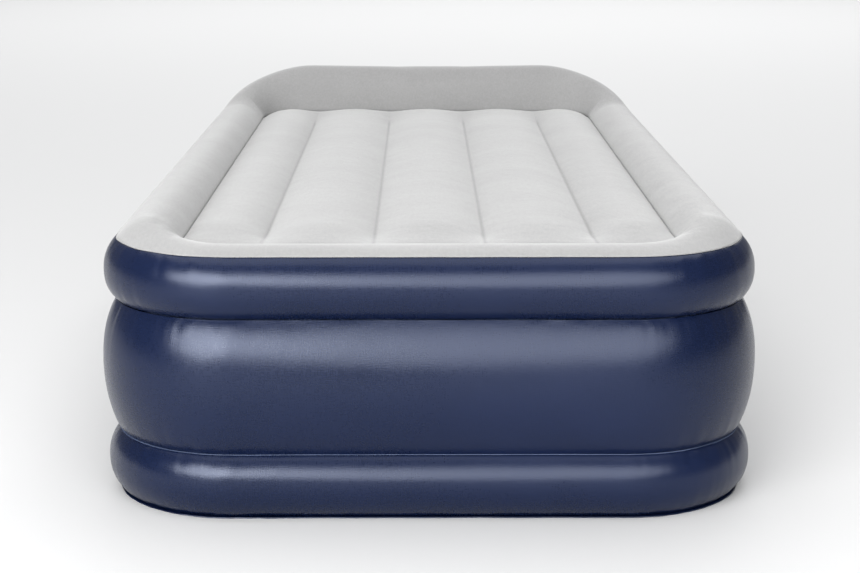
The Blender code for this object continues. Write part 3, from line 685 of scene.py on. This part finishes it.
def build_flat_sheets(looks):
    """Inner sheets whose rims show in the waists, and the ground sheet with its rim."""
    vents = [(x, y) for x in VENT_X for y in VENT_Y]
    thin = INNER_HALF_THICKNESS
    upper_z, lower_z = UPPER_WAIST_Z, LOWER_WAIST_Z
    upper = flat_sheet("upper_inner_sheet", UPPER_INSET, upper_z - thin, upper_z + thin, 31, vents, 0.0)
    lower = flat_sheet("lower_inner_sheet", LOWER_INSET, lower_z - thin, lower_z + thin, 33, vents)
    ground = flat_sheet("ground_sheet", GROUND_INSET, GROUND_LOW_Z, GROUND_HIGH_Z, 35)
    declare(upper, "inner_vinyl", looks["inner_vinyl"], "upper_diaphragm")
    declare(lower, "inner_vinyl", looks["inner_vinyl"], "lower_diaphragm")
    declare(ground, "navy_vinyl", looks["navy_vinyl"], "bottom_sheet")


# ---------------------------------------------------------------------------- materials


class Look:
    """A Principled material with short calls for the nodes that drive it."""

    def __init__(self, name, colour, roughness, **fixed):
        self.material = bpy.data.materials.new(name)
        self.material.use_nodes = True
        self.nodes = self.material.node_tree.nodes
        self.links = self.material.node_tree.links
        self.shader = self.nodes["Principled BSDF"]
        self.shader.inputs["Base Color"].default_value = (*colour, 1.0)
        self.shader.inputs["Roughness"].default_value = roughness
        for key, value in fixed.items():
            self.shader.inputs[key.replace("_", " ")].default_value = value
        self.height = None

    def add(self, kind, **inputs):
        """A node with some of its inputs set to values or linked to sockets."""
        node = self.nodes.new("ShaderNode" + kind)
        for key, value in inputs.items():
            socket = node.inputs[key]
            if isinstance(value, bpy.types.NodeSocket):
                self.links.new(value, socket)
            else:
                socket.default_value = value
        return node

    def place(self, scale, weave=False):
        """Coordinates in metres times a scale: the piece's own place, or its weave map."""
        if weave:
            source = self.nodes.new("ShaderNodeUVMap")
            source.uv_map = "weave"
            vector = source.outputs["UV"]
        else:
            vector = self.nodes.new("ShaderNodeTexCoord").outputs["Object"]
        return self.add("Mapping", Vector=vector, Scale=scale).outputs["Vector"]

    def noise(self, scale, detail, weave=False):
        """Noise with `scale` features a metre, one number or one for each axis."""
        if not isinstance(scale, tuple):
            scale = (scale, scale, scale)
        vector = self.place(scale, weave)
        node = self.add("TexNoise", Vector=vector, Scale=1.0, Detail=detail, Roughness=0.55)
        return node.outputs["Fac"]

    def spread(self, value, low, high, start=0.3, end=0.7):
        """Map a value between two others."""
        node = self.add("MapRange", Value=value)
        for key, number in (("From Min", start), ("From Max", end), ("To Min", low), ("To Max", high)):
            node.inputs[key].default_value = number
        return node.outputs["Result"]

    def math(self, operation, first, second):
        """One arithmetic step."""
        node = self.nodes.new("ShaderNodeMath")
        node.operation = operation
        for socket, value in zip(node.inputs, (first, second)):
            if isinstance(value, bpy.types.NodeSocket):
                self.links.new(value, socket)
            else:
                socket.default_value = value
        return node.outputs[0]

    def shades(self, value, dark, light, start=0.3, end=0.7):
        """A colour between two, by a value."""
        node = self.nodes.new("ShaderNodeValToRGB")
        node.color_ramp.elements[0].position = start
        node.color_ramp.elements[0].color = (*dark, 1.0)
        node.color_ramp.elements[1].position = end
        node.color_ramp.elements[1].color = (*light, 1.0)
        self.links.new(value, node.inputs["Fac"])
        return node.outputs["Color"]

    def drive(self, socket, value):
        """Link a value to one of the shader's sockets."""
        self.links.new(value, self.shader.inputs[socket])

    def raise_by(self, value, distance, strength):
        """Add a height in metres to the surface's bump."""
        bump = self.add("Bump", Height=value, Distance=distance, Strength=strength)
        if self.height is not None:
            self.links.new(self.height, bump.inputs["Normal"])
        self.height = bump.outputs["Normal"]
        self.drive("Normal", self.height)


def flock_look(name="flock", seams=False):
    """Short grey velour with a slightly brushed nap; with `seams` set, painted shade darkens it in the
    creases along the seams.
    """
    look = Look(name, (0.45, 0.447, 0.444), 0.95, Sheen_Weight=0.3, Sheen_Roughness=0.36)
    look.shader.inputs["Specular IOR Level"].default_value = 0.15
    nap = look.math("ADD", look.noise((5.0, 9.0, 9.0), 3.0), look.noise((260.0, 60.0, 260.0), 2.0))
    speck = look.noise(900.0, 1.0)
    tone = look.math("ADD", look.math("MULTIPLY", nap, 0.42), look.math("MULTIPLY", speck, 0.16))
    dark, light = (0.232, 0.231, 0.2295), (0.272, 0.271, 0.2695)
    colour = look.shades(tone, dark, light, 0.38, 0.64)
    # Painted shade in the creases along the channels' seams
    if seams:
        colour = paint_seam_shade(look, colour)
    look.drive("Base Color", colour)
    look.drive("Roughness", look.spread(nap, 0.88, 1.0, 0.7, 1.3))
    look.raise_by(look.noise(55.0, 2.0), 0.0012, 0.35)
    look.raise_by(look.noise(850.0, 2.0), 0.0004, 0.5)
    return look.material


def paint_seam_shade(look, colour):
    """Painted shade: darken a colour in the creases close to the four seams, as far as they run towards
    the pillow.
    """
    # Colour and strength of the painted shade in the seam creases
    strength, seam_shade_colour = 0.55, (0.125, 0.1245, 0.124, 1.0)
    place = look.add("SeparateXYZ", Vector=look.place((1.0, 1.0, 1.0)))
    swing = look.math("PINGPONG", place.outputs["X"], CHANNEL_PITCH / 2)
    from_seam = look.math("SUBTRACT", CHANNEL_PITCH / 2, swing)
    near = look.spread(from_seam, 1.0, 0.0, 0.0008, 0.0045)
    running = look.spread(place.outputs["Y"], 1.0, 0.0, SEAM_HEAD_Y - 0.030, SEAM_HEAD_Y + 0.020)
    inside = look.spread(look.math("ABSOLUTE", place.outputs["X"], 0.0), 1.0, 0.0, 0.30, 0.31)
    seam_shade_mask = look.math("MULTIPLY", look.math("MULTIPLY", near, running), inside)
    mix = look.nodes.new("ShaderNodeMix")
    mix.data_type = "RGBA"
    look.links.new(look.math("MULTIPLY", seam_shade_mask, strength), mix.inputs["Factor"])
    look.links.new(colour, mix.inputs["A"])
    mix.inputs["B"].default_value = seam_shade_colour
    return mix.outputs["Result"]


def vinyl_look():
    """Satin navy PVC with the fine cross weave of its scrim showing through."""
    look = Look("navy_vinyl", (0.009, 0.015, 0.050), 0.42, Specular_IOR_Level=0.43)
    look.shader.inputs["Specular Tint"].default_value = (0.74, 0.81, 1.0, 1.0)
    cloud = look.noise((3.0, 3.0, 5.0), 3.0)
    level_threads = look.noise((80.0, 560.0, 1.0), 1.0, weave=True)
    upright_threads = look.noise((560.0, 80.0, 1.0), 1.0, weave=True)
    threads = look.math("ADD", level_threads, upright_threads)
    tone = look.math("ADD", look.math("MULTIPLY", cloud, 0.6), look.math("MULTIPLY", threads, 0.2))
    dark, light = (0.0015, 0.0045, 0.019), (0.0035, 0.0078, 0.030)
    look.drive("Base Color", look.shades(tone, dark, light, 0.35, 0.66))
    thread_rough = look.spread(threads, -0.022, 0.022, 0.75, 1.25)
    look.drive("Roughness", look.math("ADD", thread_rough, look.spread(cloud, 0.25, 0.32)))
    look.raise_by(threads, 0.00030, 0.22)
    look.raise_by(look.noise(14.0, 2.0), 0.0020, 0.22)
    return look.material


def inner_vinyl_look():
    """Dull blue PVC of the inner sheets, whose rims show in the waists."""
    look = Look("inner_vinyl", (0.07, 0.09, 0.16), 0.40)
    cloud = look.noise(18.0, 3.0)
    look.drive("Base Color", look.shades(cloud, (0.055, 0.075, 0.135), (0.085, 0.110, 0.185)))
    look.drive("Roughness", look.spread(cloud, 0.36, 0.48))
    look.raise_by(look.noise(240.0, 2.0), 0.0003, 0.5)
    return look.material


def plastic_look(name, dark, light, roughness, grain=1400.0):
    """Moulded plastic with a fine spark-eroded grain and slightly rubbed patches."""
    look = Look(name, light, roughness)
    cloud = look.noise(28.0, 3.0)
    look.drive("Base Color", look.shades(cloud, dark, light))
    look.drive("Roughness", look.spread(cloud, roughness - 0.06, roughness + 0.06))
    look.raise_by(look.noise(grain, 2.0), 0.00012, 0.5)
    return look.material


def steel_look():
    """Bright turned steel with fine marks."""
    look = Look("steel", (0.60, 0.60, 0.61), 0.28, Metallic=1.0)
    marks = look.noise((1500.0, 60.0, 1500.0), 2.0)
    look.drive("Base Color", look.shades(marks, (0.50, 0.50, 0.51), (0.66, 0.66, 0.67)))
    look.drive("Roughness", look.spread(marks, 0.22, 0.38))
    look.raise_by(marks, 0.00005, 0.4)
    return look.material


def make_looks():
    """A look for each of the record's material slots, and the flock with painted shade in its seam
    creases.
    """
    navy = (0.024, 0.030, 0.058), (0.036, 0.044, 0.078)
    grey = (0.41, 0.42, 0.44), (0.48, 0.49, 0.51)
    black = (0.015, 0.015, 0.016), (0.026, 0.026, 0.028)
    rubber = (0.022, 0.022, 0.023), (0.036, 0.036, 0.037)
    return {
        "flock": flock_look(),
        # Sleeping surface's flock, with painted shade in its seam creases
        "flock_channels": flock_look("flock_channels", seams=True),
        "navy_vinyl": vinyl_look(),
        "inner_vinyl": inner_vinyl_look(),
        "dark_plastic": plastic_look("dark_plastic", *navy, 0.42),
        "light_plastic": plastic_look("light_plastic", *grey, 0.44),
        "black_plastic": plastic_look("black_plastic", *black, 0.50),
        "rubber": plastic_look("rubber", *rubber, 0.78, grain=700.0),
        "steel": steel_look(),
    }


# ---------------------------------------------------------------------------- stage


def aim(thing, target):
    """Point a camera or a light at a place."""
    direction = Vector(target) - thing.location
    thing.rotation_euler = direction.to_track_quat("-Z", "Y").to_euler()


def add_camera():
    """Camera beyond the foot end, a little above the bed and looking slightly down along it."""
    data = bpy.data.cameras.new("camera")
    data.sensor_width = 36.0
    data.lens = 77.2
    camera = bpy.data.objects.new("camera", data)
    bpy.context.scene.collection.objects.link(camera)
    camera.location = (-0.013, -3.427, 0.885)
    camera.rotation_euler = (radians(90.0 - 12.38), 0.0, radians(-0.30))
    bpy.context.scene.camera = camera


def add_light(name, place, target, size, power):
    """A soft oval light."""
    data = bpy.data.lights.new(name, "AREA")
    data.shape = "ELLIPSE"
    data.size, data.size_y = size
    data.energy = power
    data.spread = radians(130.0)
    light = bpy.data.objects.new(name, data)
    bpy.context.scene.collection.objects.link(light)
    light.location = place
    light.visible_camera = False
    aim(light, target)


def add_sky_light():
    """Broad soft light from overhead, the same everywhere, leaning towards the head end."""
    data = bpy.data.lights.new("overhead", "SUN")
    data.energy = 2.65
    data.angle = radians(80.0)
    light = bpy.data.objects.new("overhead", data)
    bpy.context.scene.collection.objects.link(light)
    light.location = (-0.1, 0.8, 4.0)
    aim(light, (0.0, 0.0, 0.0))


def add_stage():
    """Pale floor, pale surroundings, an even light from above and three soft oval lights."""
    reach = 40.0
    corners = [(-reach, -reach, 0), (reach, -reach, 0), (reach, reach, 0), (-reach, reach, 0)]
    floor = bpy.data.meshes.new("floor")
    floor.from_pydata(corners, [], [(0, 1, 2, 3)])
    plain = Look("stage_floor", (0.50, 0.50, 0.50), 0.9)
    floor.materials.append(plain.material)
    link("floor", floor)
    add_world()
    bpy.context.scene.view_settings.view_transform = "Standard"
    add_sky_light()
    add_light("front_left", (-2.1, -4.0, 1.7), (-0.2, -0.9, 0.8), (3.5, 2.3), 128.0)
    add_light("front", (0.6, -4.2, 1.7), (0.0, -0.9, 0.8), (5.0, 2.3), 82.0)
    add_light("rear", (1.2, 12.5, 7.5), (0.0, 2.0, 0.0), (13.5, 8.0), 620.0)


def add_world():
    """Soft surrounding light, seen as a pale backdrop."""
    world = bpy.data.worlds.new("studio")
    world.use_nodes = True
    nodes, links = world.node_tree.nodes, world.node_tree.links
    glow = nodes["Background"]
    glow.inputs["Color"].default_value = (0.93, 0.95, 1.0, 1.0)
    glow.inputs["Strength"].default_value = 0.20
    backdrop = nodes.new("ShaderNodeBackground")
    backdrop.inputs["Color"].default_value = (0.87, 0.88, 0.90, 1.0)
    seen = nodes.new("ShaderNodeLightPath")
    mix = nodes.new("ShaderNodeMixShader")
    links.new(seen.outputs["Is Camera Ray"], mix.inputs["Fac"])
    links.new(glow.outputs["Background"], mix.inputs[1])
    links.new(backdrop.outputs["Background"], mix.inputs[2])
    links.new(mix.outputs["Shader"], nodes["World Output"].inputs["Surface"])
    bpy.context.scene.world = world


# ---------------------------------------------------------------------------- assembly


def declare(piece, slot, look, *nodes, body=BED):
    """Ride a piece on a body, in place of CAD nodes, with a slot's look."""
    piece.data.materials.clear()
    piece.data.materials.append(look)
    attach(piece, body)
    if nodes:
        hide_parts(*nodes)
    return piece


def tier_skins():
    """The three tiers from the top down, each between the welds above and below it."""
    gap = WELD_CLEARANCE
    seam = (SEAM_INSET, SEAM_Z)
    above_upper, below_upper = (WAIST_INSET, UPPER_WAIST_Z + gap), (WAIST_INSET, UPPER_WAIST_Z - gap)
    above_lower, below_lower = (WAIST_INSET, LOWER_WAIST_Z + gap), (WAIST_INSET, LOWER_WAIST_Z - gap)
    floor = (FLOOR_INSET, FLOOR_WELD_Z)
    return (
        tier("upper_tier", above_upper, UPPER_BULGE, seam, OUTER_TIER_ROWS, 11),
        tier("middle_tier", above_lower, MIDDLE_BULGE, below_upper, MIDDLE_TIER_ROWS, 12),
        tier("lower_tier", floor, LOWER_BULGE, below_lower, OUTER_TIER_ROWS, 13),
    )


def build_skins(looks):
    """The five inflated skins, each in place of its CAD solid."""
    upper_tier, middle_tier, lower_tier = tier_skins()
    skins = (
        ("upper_wall", "navy_vinyl", upper_tier),
        ("middle_wall", "navy_vinyl", middle_tier),
        ("lower_wall", "navy_vinyl", lower_tier),
        ("border_and_pillow", "flock", border()),
        ("sleeping_surface", "flock", sleeping_surface()),
    )
    run_inflation()
    for node, slot, skin in skins:
        points = skin.keep()
        if node == "middle_wall":
            pull_to_collar(points)
        piece = skin.replace_mesh(points)
        look = looks["flock_channels"] if node == "sleeping_surface" else looks[slot]
        finish_skin(piece)
        if node == "middle_wall":
            cut_window(piece)
        declare(piece, slot, look, node)
    bpy.context.scene.frame_set(1)


def softened(name, looks, width, body=BED, extra=None):
    """Finished copy of a CAD node with its sharp edges rounded, ridden in its place."""
    source = frame["nodes"][name]
    bm = bmesh.new()
    bm.from_mesh(source.data)
    bm.transform(source.matrix_world)
    if extra is not None:
        extra(bm)
    bmesh.ops.remove_doubles(bm, verts=bm.verts[:], dist=1e-5)
    bmesh.ops.dissolve_limit(bm, angle_limit=radians(1.0), verts=bm.verts[:], edges=bm.edges[:])
    piece = link(name + "_finished", mesh_of(bm, name + "_finished"))
    rounding = piece.modifiers.new("rounding", "BEVEL")
    rounding.width = width
    rounding.segments = 3
    rounding.limit_method = "ANGLE"
    rounding.angle_limit = radians(35.0)
    apply_modifiers(piece)
    piece.data.shade_smooth()
    piece.data.set_sharp_from_angle(angle=radians(40.0))
    slot = next(entry["material_slot"] for entry in frame["record"]["subparts"] if entry["node"] == name)
    return declare(piece, slot, looks[slot], name, body=body)


def add_bar(bm, size, centre, turn=0.0):
    """Add a block, turned about the line through its centre along Y."""
    matrix = Matrix.Translation(centre) @ Matrix.Rotation(turn, 4, "Y") @ Matrix.Diagonal((*size, 1.0))
    bmesh.ops.create_cube(bm, size=1.0, matrix=matrix)


def middle(name):
    """Centre of a node's box."""
    low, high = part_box(name)
    return (low + high) / 2


def add_dial_scale(bm):
    """Raised strokes on the faceplate round the dial, longer at its three stops."""
    width, height, start = 0.0010, 0.0006, 0.0275
    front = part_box("pump_faceplate")[1].y
    dial = middle("control_dial")
    for step in range(-3, 4):
        angle = radians(30.0 * step)
        length = 0.0045 if step % 3 == 0 else 0.0022
        reach = start + length / 2
        place = (dial.x + reach * sin(angle), front, dial.z + reach * cos(angle))
        add_bar(bm, (width, height, length), place, angle)


def add_dial_marks(bm):
    """Rib along the grip that shows where the dial points, and grip ribs round its face."""
    ribs, reach, face_depth = 36, 0.0222, 0.0052
    dial = middle("control_dial")
    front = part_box("control_dial")[1].y
    add_bar(bm, (0.0012, 0.0008, 0.0130), (dial.x, front, dial.z + 0.0115))
    face = front - face_depth
    for step in range(ribs):
        angle = 2 * pi * step / ribs
        if abs(sin(angle)) > 0.30:
            place = (dial.x + reach * sin(angle), face, dial.z + reach * cos(angle))
            add_bar(bm, (0.0008, 0.0007, 0.0030), place, angle)


def add_door_ridges(bm):
    """Three finger ridges beside the door's free edge."""
    from_edge, pitch = 0.0035, 0.0024
    low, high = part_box("cord_bay_door")
    height = middle("cord_bay_door").z
    for step in range(3):
        place = (low.x + from_edge + pitch * step, high.y, height)
        add_bar(bm, (0.0009, 0.0007, 0.0240), place)


def cross_recess(piece, centre, front):
    """Cut a cross recess into a screw's head."""
    bm = bmesh.new()
    length, depth, width = 0.0036, 0.0018, 0.0008
    for turn in (radians(20.0), radians(110.0)):
        add_bar(bm, (length, depth, width), (centre.x, front, centre.z), turn)
    cutter = add_cut(piece, bm, "cross")
    piece.modifiers["cross"].use_self = True
    apply_modifiers(piece)
    bpy.data.objects.remove(cutter, do_unlink=True)


def build_pump(looks):
    """The pump's visible moulded pieces, with rounded edges and their moulded detail."""
    softened("pump_collar", looks, 0.0012)
    softened("pump_faceplate", looks, 0.0005, extra=add_dial_scale)
    softened("cord_bay_door", looks, 0.0003, "bay_door", add_door_ridges)
    softened("control_dial", looks, 0.0004, "dial", add_dial_marks)
    softened("rocker_switch", looks, 0.0005, "rocker")
    softened("intake_grille", looks, 0.0004)
    for number in range(1, 5):
        name = f"faceplate_screw_{number}"
        piece = softened(name, looks, 0.0002)
        cross_recess(piece, middle(name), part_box(name)[1].y)


def dress_nodes(looks):
    """Give every CAD node that stays its slot's look."""
    for entry in frame["record"]["subparts"]:
        node = frame["nodes"][entry["node"]]
        look = looks[entry["material_slot"]]
        if not node.material_slots:
            node.data.materials.append(look)
        for place in node.material_slots:
            place.material = look


def main():
    add_camera()
    add_stage()
    looks = make_looks()
    dress_nodes(looks)
    build_skins(looks)
    build_flat_sheets(looks)
    build_pump(looks)


main()
